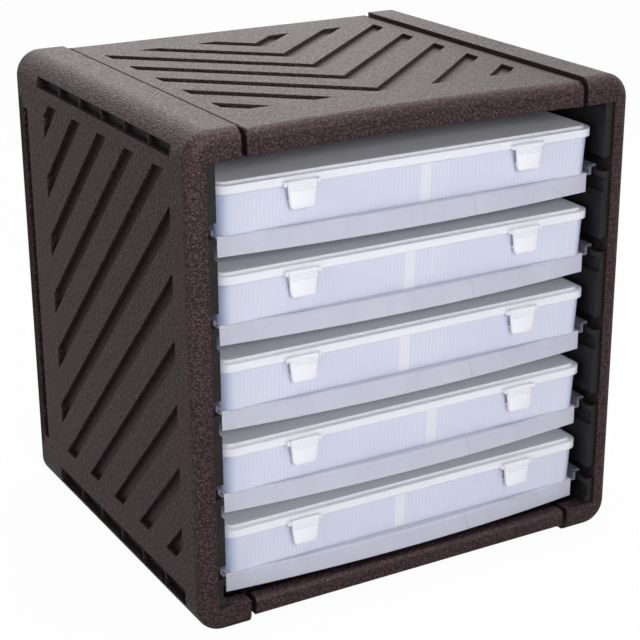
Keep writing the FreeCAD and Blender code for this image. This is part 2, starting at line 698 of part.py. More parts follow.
def inset_plan(sketch, inset, radius=None):
    """Rounded rectangle inside the lid's plan, concentric with its corners unless a radius is given."""
    rectangle(
        sketch,
        f"-Layout.lid_half + {inset}",
        f"Layout.lid_front + {inset}",
        f"Layout.lid_half - ({inset})",
        f"Layout.lid_back - ({inset})",
        radius or f"Dims.lid_corner - ({inset})",
    )


def cut_corner_plan(sketch, inset, leg):
    """Rectangle inside the lid's plan with its corners cut off."""
    left, right = f"-Layout.lid_half + {inset}", f"Layout.lid_half - ({inset})"
    front, back = f"Layout.lid_front + {inset}", f"Layout.lid_back - ({inset})"
    outline(sketch, [
        (f"{left} + {leg}", front),
        (f"{right} - {leg}", front),
        (right, f"{front} + {leg}"),
        (right, f"{back} - {leg}"),
        (f"{right} - {leg}", back),
        (f"{left} + {leg}", back),
        (left, f"{back} - {leg}"),
        (left, f"{front} + {leg}"),
    ])


def loft(body, kind, name, sections):
    """Straight-sided loft, added or taken away, through sketches from the lowest up."""
    feature = body.newObject("PartDesign::" + kind, name)
    feature.Profile = sections[0]
    feature.Sections = sections[1:]
    feature.Ruled = True
    doc.recompute()


def put_on_deck(body, level):
    body.setExpression("Placement.Base.z", level_height(level, "first_deck"))


def box_base(level):
    """Open box with leaning walls, catch ribs in front and pinned hinge ears at the back."""
    body = new_body(f"box_base_{level}")
    foot = new_sketch(body, "XY_Plane", f"foot_outline_{level}")
    inset_plan(foot, "Layout.foot_inset", "Layout.base_corner")
    brim = new_sketch(body, "XY_Plane", f"brim_outline_{level}", "Dims.base_height")
    inset_plan(brim, "Layout.base_inset", "Layout.base_corner")
    loft(body, "AdditiveLoft", f"box_block_{level}", [foot, brim])
    floor = new_sketch(body, "XY_Plane", f"floor_outline_{level}", "Dims.base_floor")
    cut_corner_plan(floor, "Layout.cell_inset", "Layout.cell_cut")
    mouth = new_sketch(body, "XY_Plane", f"mouth_outline_{level}", "Dims.base_height")
    cut_corner_plan(mouth, "Layout.mouth_inset", "Layout.cell_cut")
    loft(body, "SubtractiveLoft", f"cell_{level}", [floor, mouth])

    ears = new_sketch(body, "XY_Plane", f"hinge_ear_outlines_{level}", "Layout.hinge_z - Dims.hinge_drop")
    for side in (-1, 1):
        rectangle(
            ears,
            f"{side} * Dims.hinge_width / 2",
            "Layout.base_back - Dims.base_wall",
            f"{side} * (Dims.hinge_width / 2 + Dims.hinge_ear)",
            "Layout.hinge_y + Dims.hinge_hook",
        )
    pad(body, ears, f"hinge_ears_{level}", "2 * Dims.hinge_drop - Dims.hinge_gap")
    pin = new_sketch(body, "YZ_Plane", f"hinge_pin_outline_{level}")
    snap_pin(pin, "Layout.hinge_y", "Layout.hinge_z", "Dims.hinge_pin_radius")
    pad(body, pin, f"hinge_pin_{level}", "Dims.hinge_width + Dims.hinge_ear", both=True)

    catches = new_sketch(body, "XY_Plane", f"catch_outlines_{level}", "Layout.catch_bottom")
    for sign in (-1, 1):
        centre = f"{sign} * Dims.latch_spacing / 2"
        rectangle(
            catches,
            f"{centre} - Dims.catch_width / 2",
            "Layout.lid_front",
            f"{centre} + Dims.catch_width / 2",
            "Layout.lid_front + Layout.foot_inset + Dims.base_wall / 2",
        )
    pad(body, catches, f"catches_{level}", "Dims.catch_height")
    divider_guides(body, level)
    put_on_deck(body, level)
    keep(f"box_base_{level}", body)


def divider_guides(body, level):
    """Ribs on the front and back walls that hold the flanges of the divider."""
    guides = new_sketch(body, "XY_Plane", f"guide_outlines_{level}", "Dims.base_floor / 2")
    walls = (("Layout.cell_front", 1), ("Layout.cell_back", -1))
    for wall, inward in walls:
        for side in (-1, 1):
            near_face = f"Dims.divider_x_{level} + {side} * (Dims.divider_flange / 2 + Dims.divider_fit)"
            rectangle(
                guides,
                near_face,
                f"{wall} - {inward} * Dims.base_wall / 2",
                f"{near_face} + {side} * Dims.divider_guide",
                f"{wall} + {inward} * Dims.divider_guide",
            )
    pad(body, guides, f"divider_guides_{level}", "Dims.divider_height")


def box_lid(level):
    """Lid with an overhanging rim, a raised hollow middle, latch pivots and a hinge hook."""
    body = new_body(f"box_lid_{level}")
    rim = new_sketch(body, "XY_Plane", f"rim_outline_{level}", "Layout.rim_bottom")
    inset_plan(rim, "0")
    pad(body, rim, f"rim_{level}", "Dims.lid_rim_height")
    raised = new_sketch(body, "XY_Plane", f"raised_outline_{level}", "Layout.rim_top")
    inset_plan(raised, "Dims.lid_raise_inset")
    pad(body, raised, f"raised_{level}", "Dims.lid_raise")
    under = new_sketch(body, "XY_Plane", f"under_outline_{level}", "Layout.rim_bottom")
    cut_corner_plan(under, "Dims.lid_rim_wall", "Layout.rim_cut")
    pocket(body, under, f"under_{level}", "Dims.lid_rim_height - Dims.lid_plate", reverse=True)
    hollow = new_sketch(body, "XY_Plane", f"hollow_outline_{level}", "Dims.base_height")
    cut_corner_plan(hollow, "Dims.lid_raise_inset + Dims.lid_plate", "Dims.lid_plate")
    pocket(body, hollow, f"hollow_{level}", "Dims.lid_raise", reverse=True)
    latch_pivots(body, level)
    hinge_hook(body, level)
    put_on_deck(body, level)
    keep(f"box_lid_{level}", body)


def latch_pivots(body, level):
    """Two ears and the pin between them for each latch."""
    ears = new_sketch(body, "XY_Plane", f"latch_ear_outlines_{level}", "Layout.rim_bottom")
    for sign in (-1, 1):
        for side in (-1, 1):
            centre = f"{sign} * Dims.latch_spacing / 2"
            rectangle(
                ears,
                f"{centre} + {side} * (Layout.latch_reach - Dims.latch_ear)",
                "Layout.latch_y - Dims.latch_clip",
                f"{centre} + {side} * Layout.latch_reach",
                "Layout.lid_front + Dims.lid_rim_wall / 2",
            )
    pad(body, ears, f"latch_ears_{level}", "Dims.latch_rise + Dims.latch_clip")
    for sign, side in ((-1, "left"), (1, "right")):
        pin = new_sketch(body, "YZ_Plane", f"{side}_pin_outline_{level}", f"{sign} * Dims.latch_spacing / 2")
        snap_pin(pin, "Layout.latch_y", "Layout.latch_z", "Dims.latch_pin_radius")
        pad(body, pin, f"{side}_latch_pin_{level}", "2 * Layout.latch_reach - Dims.latch_ear", both=True)


def snap_bore(body, name, y, z, radius, mouth, reach, length):
    """Round bore along X with a narrower mouth out of one side, so that it snaps over a pin."""
    bore = new_sketch(body, "YZ_Plane", name + "_bore_outline")
    circle(bore, y, z, radius)
    pocket(body, bore, name + "_bore", length, both=True)
    slot = new_sketch(body, "YZ_Plane", name + "_mouth_outline")
    if reach[0] == "y":
        rectangle(slot, y, f"{z} - {mouth} / 2", f"{y} + {reach[1]}", f"{z} + {mouth} / 2")
    else:
        rectangle(slot, f"{y} - {mouth} / 2", f"{z} - {reach[1]}", f"{y} + {mouth} / 2", z)
    pocket(body, slot, name + "_mouth", length, both=True)


def hinge_hook(body, level):
    """Hook along the back of the lid that snaps down over the hinge pin."""
    length = "Dims.hinge_width - 2 * Dims.hinge_gap"
    web = new_sketch(body, "YZ_Plane", f"hook_outline_{level}")
    rectangle(
        web,
        "Layout.lid_back - Dims.lid_rim_wall / 2",
        "Layout.hinge_z - Dims.hinge_hook / 2",
        "Layout.hinge_y + Dims.hinge_hook",
        "Layout.rim_top",
    )
    pad(body, web, f"hook_{level}", length, both=True)
    snap_bore(
        body,
        f"hook_{level}",
        "Layout.hinge_y",
        "Layout.hinge_z",
        "Dims.hinge_pin_radius + Dims.hinge_pin_fit",
        "Dims.hinge_mouth",
        ("z", "Dims.hinge_hook"),
        "Dims.hinge_width",
    )


def latch(side, sign, level):
    """Flap latch: tapered flap under a snap-on clip, with a bead that snaps under the catch."""
    body = new_body(f"latch_{side}_{level}")
    tag = f"{side}_{level}"
    flap = new_sketch(body, "XZ_Plane", f"flap_outline_{tag}", "-Layout.flap_inner")
    top, bottom = "Dims.latch_top_width / 2", "Dims.latch_bottom_width / 2"
    half, corner = f"({bottom} - Dims.latch_corner)", "Layout.flap_end + Dims.latch_corner"
    outline(flap, [
        (f"-{half}", "Layout.flap_end"),
        (half, "Layout.flap_end"),
        (bottom, corner),
        (top, "Layout.latch_z"),
        (f"-{top}", "Layout.latch_z"),
        (f"-{bottom}", corner),
    ])
    pad(body, flap, f"flap_{tag}", "Dims.latch_thickness")
    bead = new_sketch(body, "XZ_Plane", f"bead_outline_{tag}", "-Layout.flap_inner")
    rectangle(bead, f"-{half}", "Layout.bead_bottom", half, "Layout.bead_bottom + Dims.latch_bead")
    pad(body, bead, f"bead_{tag}", "Layout.lid_front - Dims.latch_gap - Layout.flap_inner", reverse=True)
    clip = new_sketch(body, "YZ_Plane", f"clip_outline_{tag}")
    octagon(clip, "Layout.latch_y", "Layout.latch_z", "Dims.latch_clip")
    pad(body, clip, f"clip_{tag}", "Dims.latch_top_width", both=True)
    snap_bore(
        body,
        f"clip_{tag}",
        "Layout.latch_y",
        "Layout.latch_z",
        "Dims.latch_pin_radius + Dims.latch_pin_fit",
        "Dims.latch_mouth",
        ("y", "2 * Dims.latch_clip"),
        "Dims.latch_top_width",
    )
    body.setExpression("Placement.Base.x", f"{sign} * Dims.latch_spacing / 2")
    put_on_deck(body, level)
    keep(f"latch_{side}_{level}", body)


def divider(level):
    """Upright divider whose ends lean with the box walls, with a flange along each end."""
    body = new_body(f"divider_{level}")
    low, high = "Dims.base_floor", "Dims.base_floor + Dims.divider_height"
    spread = "Dims.divider_height * Layout.lean"
    front, back = "Layout.cell_front + Dims.divider_fit", "Layout.cell_back - Dims.divider_fit"
    plate = new_sketch(body, "YZ_Plane", f"divider_outline_{level}")
    outline(plate, [(front, low), (back, low), (f"{back} + {spread}", high), (f"{front} - {spread}", high)])
    pad(body, plate, f"divider_plate_{level}", "Dims.divider_thickness", both=True)
    flanges = new_sketch(body, "YZ_Plane", f"divider_flange_outlines_{level}")
    for end, inward in ((front, 1), (back, -1)):
        top = f"{end} - {inward} * {spread}"
        thick = f"{inward} * Dims.divider_flange_thickness"
        outline(flanges, [(end, low), (f"{end} + {thick}", low), (f"{top} + {thick}", high), (top, high)])
    pad(body, flanges, f"divider_flanges_{level}", "Dims.divider_flange", both=True)
    body.setExpression("Placement.Base.x", f"Dims.divider_x_{level}")
    put_on_deck(body, level)
    keep(f"divider_{level}", body)


def build():
    for side, sign in (("left", -1), ("right", 1)):
        side_panel(side, sign)
        runner(side, sign)
    top_panel()
    bottom_panel()
    back_panel()
    for level in range(1, LEVELS + 1):
        shelf(level)
        box_base(level)
        box_lid(level)
        divider(level)
        latch("left", -1, level)
        latch("right", 1, level)
    doc.recompute()


def check():
    """Stop if anything failed to build, before a file is written."""
    for item in doc.Objects:
        if "Invalid" in item.State or "Error" in item.State:
            raise ValueError(f"{item.Label} failed: {item.State}")
    for label, item in nodes.items():
        shape = item.Shape
        if shape.isNull() or not shape.isValid() or len(shape.Solids) != 1:
            raise ValueError(f"{label} isn't one valid solid")


def write():
    os.makedirs("parts", exist_ok=True)
    for label, item in nodes.items():
        item.Shape.exportStep(f"parts/{label}.step")


build()
check()
write()
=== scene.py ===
"""Finishes for a rack of five hinged-lid boxes: grained cabinet, frosted shelves, milky boxes."""

import math

import bmesh
import bpy
from mathutils import Matrix, Vector


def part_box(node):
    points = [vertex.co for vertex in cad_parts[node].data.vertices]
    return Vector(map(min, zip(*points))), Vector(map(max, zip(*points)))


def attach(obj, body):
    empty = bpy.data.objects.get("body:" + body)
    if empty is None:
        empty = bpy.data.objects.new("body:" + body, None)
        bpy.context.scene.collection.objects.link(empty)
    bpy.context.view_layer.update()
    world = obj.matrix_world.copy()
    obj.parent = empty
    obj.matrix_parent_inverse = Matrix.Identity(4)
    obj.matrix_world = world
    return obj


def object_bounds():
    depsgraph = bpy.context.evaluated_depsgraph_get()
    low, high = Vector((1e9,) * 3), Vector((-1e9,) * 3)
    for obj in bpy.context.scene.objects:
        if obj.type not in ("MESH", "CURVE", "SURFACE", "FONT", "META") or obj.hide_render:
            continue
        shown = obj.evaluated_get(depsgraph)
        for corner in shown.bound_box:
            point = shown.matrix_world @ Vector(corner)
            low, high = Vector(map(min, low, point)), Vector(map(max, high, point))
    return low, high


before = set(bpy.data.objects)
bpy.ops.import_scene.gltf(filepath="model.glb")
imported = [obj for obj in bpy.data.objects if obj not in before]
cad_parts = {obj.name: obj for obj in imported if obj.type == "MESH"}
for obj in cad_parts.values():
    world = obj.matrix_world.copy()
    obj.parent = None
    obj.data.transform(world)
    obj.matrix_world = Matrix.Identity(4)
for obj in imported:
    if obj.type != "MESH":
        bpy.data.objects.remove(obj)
CAD_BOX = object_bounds()
LEVELS = range(1, 6)
SIDES = ("left", "right")

bl_info = {
    "name": "Box rack finishes",
    "version": (1, 0, 0),
    "blender": (4, 5, 0),
    "location": "3D View > Sidebar > Box Rack",
    "description": "Surfaces, latch ridges and studio for a rack of five hinged-lid boxes",
    "category": "Object",
}

# Lengths are in metres.
FACING = 0.7  # part of a normal along an axis from which a face counts as facing that way
SQUARE = 0.9  # the same for a face that stands square to the axis

CABINET_IOR = 1.5
RUNNER_IOR = 1.48
MILKY_IOR = 1.49

SIDE_RECESS = 0.002  # a side face deeper than this is the floor of a recessed bar
TOP_RECESS = (0.0045, 0.008)  # depths between which the floors of the top's recesses lie
# These lengths place the painted shade on the cabinet: in the seams beside the top panel, on the
# sides' rear strips and in crevices.
SEAM_DEPTH = (0.001, 0.02)  # depths between which the seams beside the top panel are shaded
SEAM_FADE = 0.65  # where a seam's shade ends, as a part of its width from its middle
REAR_STRIP = (0.0085, 0.0095)  # distances from the rear edge over which its dark strip fades
REAR_STRIP_END = (0.03, 0.042)  # distances from top and bottom over which that strip ends
CREVICE_REACH = 0.009  # how far round a point its crevices are looked for
CREVICE_OPEN = (0.30, 0.92)  # openness at which a crevice is darkest, and at which it ends
PEBBLE_TOP = (0.62, 0.90)  # grain heights at which a pebble's top starts and is full

FOLD_PLACE = 0.143  # where a fold mark starts, either side of a shelf's middle
FOLD_START = 0.002  # height of that start above the lip's lower edge
FOLD_LEAN = 1.5  # how far a fold mark runs inwards for each unit of height
FOLD_WIDTH = 0.0009
CREASE_PLACE = 0.055  # where the crease starts, right of a shelf's middle
CREASE_LEAN = 0.25  # how far the crease runs to the left for each unit of height
CREASE_WIDTH = 0.0005
LIP_FRONT = -0.5  # part of a normal along Y below which a shelf's face is the front of its lip

BAND_SIDE = (0.0008, 0.0006)  # how far inside and outside a divider's flange its band fades
BAND_TOP = (0.001, 0.002)  # how far below and above a divider's top its band fades

RIDGES = 3  # grip ridges on a latch
RIDGE_DROP = 0.0028  # from a flap's top to the middle of its first ridge
PLATE_DROP = 2.6  # from the first ridge to the top of the plate, in ridge pitches
PLATE_FOOT = 0.0006  # bare strip between the plate and a flap's lower edge
SUNK = 0.0004  # how deep ridges and plate reach into a flap
SMOOTH_ANGLE = math.radians(35)
UPRIGHT = 1e-6  # largest sideways run of an upright edge

WHITE = (1, 1, 1, 1)
PAPER = (0.9, 0.9, 0.9, 1)
SKY_FILL = 0.22  # strength of the sky where it only lights the object
SKY_GLOSS = 0.78  # what reflections see beyond that
SKY_LEFT = 0.4  # part of that strength on the left
SKY_TURN = (-0.9, 0.0)  # part of a direction to the right over which it rises to the whole
FLOOR_SEEN = 0.96  # part of the floor that shows white, the rest keeps the shadow
FLOOR_GLOSS = 0.9  # the same in reflections
GLOSS_GLOW = 0.3  # strength of the floor in reflections

WARM = (1.0, 0.99, 0.98)
COOL = (0.97, 0.98, 1.0)
LAMP_AIM = Vector((0, 0, 0.2))
LAMPS = (  # name, place, size, watts, tint
    ("overhead", (0.2, 0.2, 2.3), 2.2, 36, WARM),
    ("front", (-0.6, -2.7, 1.25), 1.0, 48, COOL),
    ("left", (-2.4, -0.7, 0.4), 1.2, 18, WARM),
    ("back", (0.8, 2.4, 1.3), 1.8, 7, WARM),
)

CAMERA_PLACE = (-0.685, -1.210, 0.694)
CAMERA_TURN = math.radians(-29.67)
CAMERA_TILT = math.radians(90 - 20.57)
CAMERA_ROLL = math.radians(-0.3)
CAMERA_LENS = 95.8  # millimetres
CAMERA_SENSOR = 36  # millimetres
CAMERA_FAR = 50


class Value:
    """A shader socket that takes part in arithmetic: each operator adds a Math node."""

    def __init__(self, nodes, socket):
        self.nodes = nodes
        self.socket = socket

    def math(self, operation, *inputs):
        return self.nodes.node("ShaderNodeMath", {"operation": operation}, dict(enumerate(inputs)))

    def __add__(self, other):
        return self.math("ADD", self, other)

    __radd__ = __add__

    def __sub__(self, other):
        return self.math("SUBTRACT", self, other)

    def __rsub__(self, other):
        return self.math("SUBTRACT", other, self)

    def __mul__(self, other):
        return self.math("MULTIPLY", self, other)

    __rmul__ = __mul__

    def __gt__(self, other):
        return self.math("GREATER_THAN", self, other)

    def __lt__(self, other):
        return self.math("LESS_THAN", self, other)

    def __mod__(self, other):
        return self.math("FLOORED_MODULO", self, other)

    def __abs__(self):
        return self.math("ABSOLUTE", self)

    def sine(self):
        return self.math("SINE", self)

    def most(self, other):
        return self.math("MAXIMUM", self, other)

    def ramp(self, low, high, start=0.0, end=1.0):
        """Smooth change from start at low to end at high."""
        return self.nodes.node(
            "ShaderNodeMapRange",
            {"interpolation_type": "SMOOTHSTEP"},
            {0: self, 1: low, 2: high, 3: start, 4: end},
        )

    def fall(self, low, high):
        """Smooth fall from 1 at low to 0 at high."""
        return self.ramp(low, high, 1.0, 0.0)


class NodeTree:
    """Adds nodes to a tree: type, settings, then the values or links of its sockets."""

    def __init__(self, owner):
        owner.use_nodes = True
        self.tree = owner.node_tree
        self.tree.nodes.clear()

    def node(self, kind, settings=None, inputs=None, out=0):
        """The new node's output, a list of outputs if out names several, or a node without any."""
        made = self.tree.nodes.new(kind)
        for key, value in (settings or {}).items():
            setattr(made, key, value)
        for key, value in (inputs or {}).items():
            if isinstance(value, Value):
                self.tree.links.new(value.socket, made.inputs[key])
            else:
                made.inputs[key].default_value = value
        if isinstance(out, tuple):
            return [Value(self, made.outputs[name]) for name in out]
        return Value(self, made.outputs[out]) if len(made.outputs) else made


class Finish(NodeTree):
    """A material that reads the piece's own coordinates and ends in one plastic surface."""

    def __init__(self, name):
        self.material = bpy.data.materials.new(name)
        super().__init__(self.material)
        self.place, facing = self.node("ShaderNodeTexCoord", out=("Object", "Normal"))
        self.x, self.y, self.z = self.split(self.place)
        self.nx, self.ny, self.nz = self.split(facing)

    def split(self, vector):
        return self.node("ShaderNodeSeparateXYZ", None, {0: vector}, ("X", "Y", "Z"))

    def stretched(self, x, y, z):
        """Object coordinates scaled along each axis."""
        return self.node("ShaderNodeMapping", None, {"Vector": self.place, "Scale": (x, y, z)})

    def noise(self, scale, detail=2.0, rough=0.5, place=None):
        inputs = {"Scale": scale, "Detail": detail, "Roughness": rough}
        inputs["Vector"] = place or self.place
        return self.node("ShaderNodeTexNoise", None, inputs)

    def pebbles(self, scale, soft=0.6):
        inputs = {"Vector": self.place, "Scale": scale, "Smoothness": soft}
        return self.node("ShaderNodeTexVoronoi", {"feature": "SMOOTH_F1"}, inputs)

    def blend(self, factor, first, second):
        """The first colour where the factor is 0, the second where it is 1."""
        inputs = {0: factor, 6: first, 7: second}
        return self.node("ShaderNodeMix", {"data_type": "RGBA"}, inputs, 2)

    def relief(self, height, depth, strength, edge):
        """Bump of that depth, over edges eased by that radius."""
        eased = self.node("ShaderNodeBevel", {"samples": 4}, {"Radius": edge})
        inputs = {"Height": height, "Distance": depth, "Strength": strength, "Normal": eased}
        return self.node("ShaderNodeBump", None, inputs)

    def crevice_shade(self, reach):
        """Painted shade: 1 deep in corners and slots, 0 on open faces."""
        openness = self.node(
            "ShaderNodeAmbientOcclusion", {"samples": 6}, {"Distance": reach}, "AO"
        )
        return openness.fall(*CREVICE_OPEN)

    def surface(self, **sockets):
        """Ends the material in a plastic, its sockets named in small letters with underscores."""
        inputs = {}
        for key, value in sockets.items():
            inputs[key.replace("_", " ").title().replace("Ior", "IOR")] = value
        plastic = self.node("ShaderNodeBsdfPrincipled", None, inputs)
        self.node("ShaderNodeOutputMaterial", None, {"Surface": plastic})
        return self.material


def dress(names, material):
    """Puts one material on whole CAD nodes."""
    for name in names:
        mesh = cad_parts[name].data
        mesh.materials.clear()
        mesh.materials.append(material)


def colour(name, description, default):
    return bpy.props.FloatVectorProperty(
        name=name, description=description, default=default, subtype="COLOR", min=0.0, max=1.0
    )


def length(name, description, default):
    return bpy.props.FloatProperty(
        name=name, description=description, default=default, unit="LENGTH", precision=5
    )


class RackColours(bpy.types.PropertyGroup):
    cabinet: colour(
        "Cabinet", "Dark brown between the pebbles of the grain", (0.0075, 0.0040, 0.0047)
    )
    # Partly painted highlight: the paler pebble tops are the grain's tone and also stand in for
    # glints on them.
    cabinet_tops_and_glints: colour("Cabinet, high spots", "Tops of the pebbles", (0.058, 0.035, 0.040))
    recess: colour("Recesses", "Smoother floors of the recessed bars", (0.017, 0.0098, 0.0113))
    # Painted shade: this near black stands in for the shade in seams, slots, rear strips and at the
    # foot of recess walls, not for a darker plastic.
    crevice_shade: colour(
        "Crevices", "Near black of seams, slots and the foot of recess walls", (0.003, 0.002, 0.002)
    )
    runner: colour("Runners", "Black of the inner runner panels", (0.006, 0.005, 0.0055))
    shelf: colour("Shelves", "Frosted grey of the pull-out shelves", (0.43, 0.435, 0.52))
    shelf_streak: colour(
        "Shelf streaks", "Paler flow streaks on the shelf lips", (0.56, 0.565, 0.65)
    )
    # Painted shade: the darker tone along the fold and crease lines stands in for the shade in
    # them.
    shelf_crease_shade: colour(
        "Shelf marks", "Fold and crease marks on the shelf lips", (0.22, 0.22, 0.27)
    )
    # Painted shade: this near black on the shelf flanges stands in for the shade they lie in.
    shaded_shelf_flange: colour(
        "Shelf flanges", "Thin edges through which the black runners show", (0.05, 0.05, 0.062)
    )
    box: colour("Boxes", "Milky blue-white of the boxes", (0.585, 0.605, 0.735))
    box_rib: colour("Box ribs", "Paler ribs on the box walls", (0.69, 0.71, 0.815))
    box_corner: colour(
        "Box corners", "Blue tint at the ends of boxes and lids", (0.30, 0.38, 0.60)
    )
    lid: colour("Lids", "Milky white of the lid rims", (0.70, 0.705, 0.785))
    # Partly painted light: the flat lid tops are written whiter than the rims, for light that comes
    # through the milky plastic.
    lit_lid_top: colour("Lid tops", "Brighter white of the flat lid tops", (0.88, 0.88, 0.95))
    latch: colour("Latches", "White of the latches", (0.79, 0.79, 0.83))


class RackSizes(bpy.types.PropertyGroup):
    grain: length("Grain", "Width of one pebble of the cabinet's grain", 0.0019)
    grain_depth: length("Grain depth", "Height of the pebbles", 0.0009)
    edge: length("Edge", "Rounding seen along moulded edges", 0.0011)
    rib_pitch: length("Rib pitch", "Spacing of the fine ribs on the box walls", 0.0034)
    rib_depth: length("Rib depth", "Height of those ribs", 0.00022)
    side_return: length("Side return", "How far a side panel reaches over the top", 0.0435)
    # Painted shade: width of the gap and of the shade painted beside it on the top panel.
    seam: length("Seam", "Shaded gap between a side return and the top panel", 0.0065)
    shaded_shelf_flange: length("Shelf flange", "Width of the thin side edges of a shelf", 0.0125)
    corner: length("Corner tint", "Width of the blue tint at the ends of the boxes", 0.012)
    haze: length("Haze", "How far light wanders inside the milky plastic", 0.004)
    latch_proud: length("Latch face", "How far ridges and plate stand out from a flap", 0.0006)
    ridge_pitch: length("Ridge pitch", "Spacing of the grip ridges on a latch", 0.0018)
    floor: length("Floor", "Half width of the studio floor", 6.0)


class RackFinish:
    """What every finishing operator shares."""

    bl_options = {"REGISTER"}

    def execute(self, context):
        self.make(context.scene.rack_colours, context.scene.rack_sizes)
        return {"FINISHED"}


class RACK_OT_cabinet(RackFinish, bpy.types.Operator):
    """Pebble-grained dark plastic on the five cabinet panels, smoother in their recesses, with
    painted shade in crevices, seams and rear strips
    """

    bl_idname = "rack.cabinet"
    bl_label = "Finish cabinet"

    def make(self, colours, sizes):
        f = Finish("cabinet_plastic")
        smooth = self.recess_floors(f, CAD_BOX[1])
        wormy = f.noise(1.0 / sizes.grain, detail=1.5, rough=0.5)
        pebble = f.pebbles(0.9 / sizes.grain)
        grain = wormy * 0.9 + (1 - pebble) * 0.5
        height = grain * (1 - smooth * 0.6) + f.noise(2600, detail=1.0) * 0.12
        patch = f.noise(14, detail=3.0, rough=0.6)
        # Paler pebble tops: grain tone and painted glints.
        tops = grain.ramp(*PEBBLE_TOP)
        shown = tops * 0.85 + patch * 0.15
        tone = f.blend(shown, (*colours.cabinet, 1), (*colours.cabinet_tops_and_glints, 1))
        tone = f.blend(smooth * 0.65, tone, (*colours.recess, 1))
        # Painted shade: crevices, the seams beside the top panel and the sides' rear strips are
        # made near black.
        dark = self.painted_shade_places(f, CAD_BOX[1], sizes)
        tone = f.blend(dark * 0.95, tone, (*colours.crevice_shade, 1))
        material = f.surface(
            base_color=tone,
            roughness=(0.42 - 0.13 * tops + 0.07 * patch).most(dark * 0.85),
            ior=CABINET_IOR,
            specular_ior_level=0.42,
            specular_tint=(1.0, 0.70, 0.74, 1),
            normal=f.relief(height, sizes.grain_depth, strength=1.0, edge=sizes.edge),
        )
        dress((f"{side}_side_panel" for side in SIDES), material)
        dress(("top_panel", "bottom_panel", "back_panel"), material)

    def recess_floors(self, f, high):
        """1 on the floors of the recessed bars in the sides and the top."""
        shallow, deep = TOP_RECESS
        side = (abs(f.nx) > SQUARE) * (abs(f.x) < high.x - SIDE_RECESS)
        top = (f.nz > SQUARE) * (f.z < high.z - shallow) * (f.z > high.z - deep)
        return side.most(top)

    def painted_shade_places(self, f, high, sizes):
        """1 where shade is painted: in crevices, in the seams beside the top panel and along the
        sides' rear edges.
        """
        shallow, deep = SEAM_DEPTH
        # Painted shade: a dark line on the top panel along each side return, for the shade in the
        # seam.
        seam_middle = high.x - sizes.side_return - sizes.seam / 2
        seam = abs(abs(f.x) - seam_middle).fall(sizes.seam * 0.5, sizes.seam * SEAM_FADE)
        seam = seam * (f.nz > FACING) * (f.z > high.z - deep) * (f.z < high.z - shallow)
        # Painted shade: the strip behind the rear slot of each side, which lies in shade, is made
        # near black.
        near, far = REAR_STRIP
        rear_edge_shade = (abs(f.nx) > FACING) * f.y.ramp(high.y - far, high.y - near)
        near, far = REAR_STRIP_END
        half = high.z / 2
        rear_edge_shade = rear_edge_shade * abs(f.z - half).fall(half - far, half - near)
        return f.crevice_shade(CREVICE_REACH).most(rear_edge_shade).most(seam)


class RACK_OT_runners(RackFinish, bpy.types.Operator):
    """Plain black moulded plastic with a fine matt skin on the two runner panels"""

    bl_idname = "rack.runners"
    bl_label = "Finish runners"

    def make(self, colours, sizes):
        f = Finish("runner_plastic")
        skin = f.noise(1400, detail=2.0)
        scuff = f.noise(90, detail=3.0, rough=0.6, place=f.stretched(1, 0.12, 1))
        scuffed = (*(2.2 * part for part in colours.runner), 1)
        material = f.surface(
            base_color=f.blend(scuff.ramp(0.45, 0.8), (*colours.runner, 1), scuffed),
            roughness=0.36 + 0.2 * scuff,
            ior=RUNNER_IOR,
            normal=f.relief(skin, 0.00012, strength=0.7, edge=sizes.edge * 0.6),
        )
        dress((f"{side}_runner" for side in SIDES), material)


class RACK_OT_shelves(RackFinish, bpy.types.Operator):
    """Frosted sheet with faint flow streaks, fold marks with painted shade, and painted shade on
    the flanges of the five shelves
    """

    bl_idname = "rack.shelves"
    bl_label = "Finish shelves"

    def make(self, colours, sizes):
        f = Finish("shelf_sheet")
        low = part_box("shelf_1")[0]
        streak = f.noise(60, detail=3.0, rough=0.6, place=f.stretched(1, 1, 0.06))
        cloud = f.noise(9, detail=2.0, rough=0.5)
        marks = self.lip_creases_and_shade(f, low.z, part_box("shelf_2")[0].z - low.z)
        # Painted shade on the thin flanges at both ends of each shelf.
        flange = abs(f.x) > -low.x - sizes.shaded_shelf_flange
        streaks = streak * 0.6 + cloud * 0.4
        tone = f.blend(streaks, (*colours.shelf, 1), (*colours.shelf_streak, 1))
        # Painted shade along the folds and the crease.
        tone = f.blend(marks * 0.85, tone, (*colours.shelf_crease_shade, 1))
        tone = f.blend(flange * 0.8, tone, (*colours.shaded_shelf_flange, 1))
        height = f.noise(900, detail=1.0) * 0.3 + streak - marks
        material = f.surface(
            base_color=tone,
            roughness=0.34 + 0.2 * streak,
            ior=MILKY_IOR,
            normal=f.relief(height, 0.00010, strength=0.6, edge=sizes.edge * 0.5),
        )
        dress((f"shelf_{k}" for k in LEVELS), material)

    def lip_creases_and_shade(self, f, bottom, pitch):
        """Fold marks at both ends of every lip, and one crease right of its middle: grooves in the
        bump, painted shade in the colour.
        """
        up = (f.z - bottom) % pitch
        fold = abs(abs(f.x) - FOLD_PLACE + (up - FOLD_START) * FOLD_LEAN).fall(0.0, FOLD_WIDTH)
        crease = abs(f.x - CREASE_PLACE + up * CREASE_LEAN).fall(0.0, CREASE_WIDTH)
        return (fold * 0.35 + crease * 0.8) * (f.ny < LIP_FRONT)


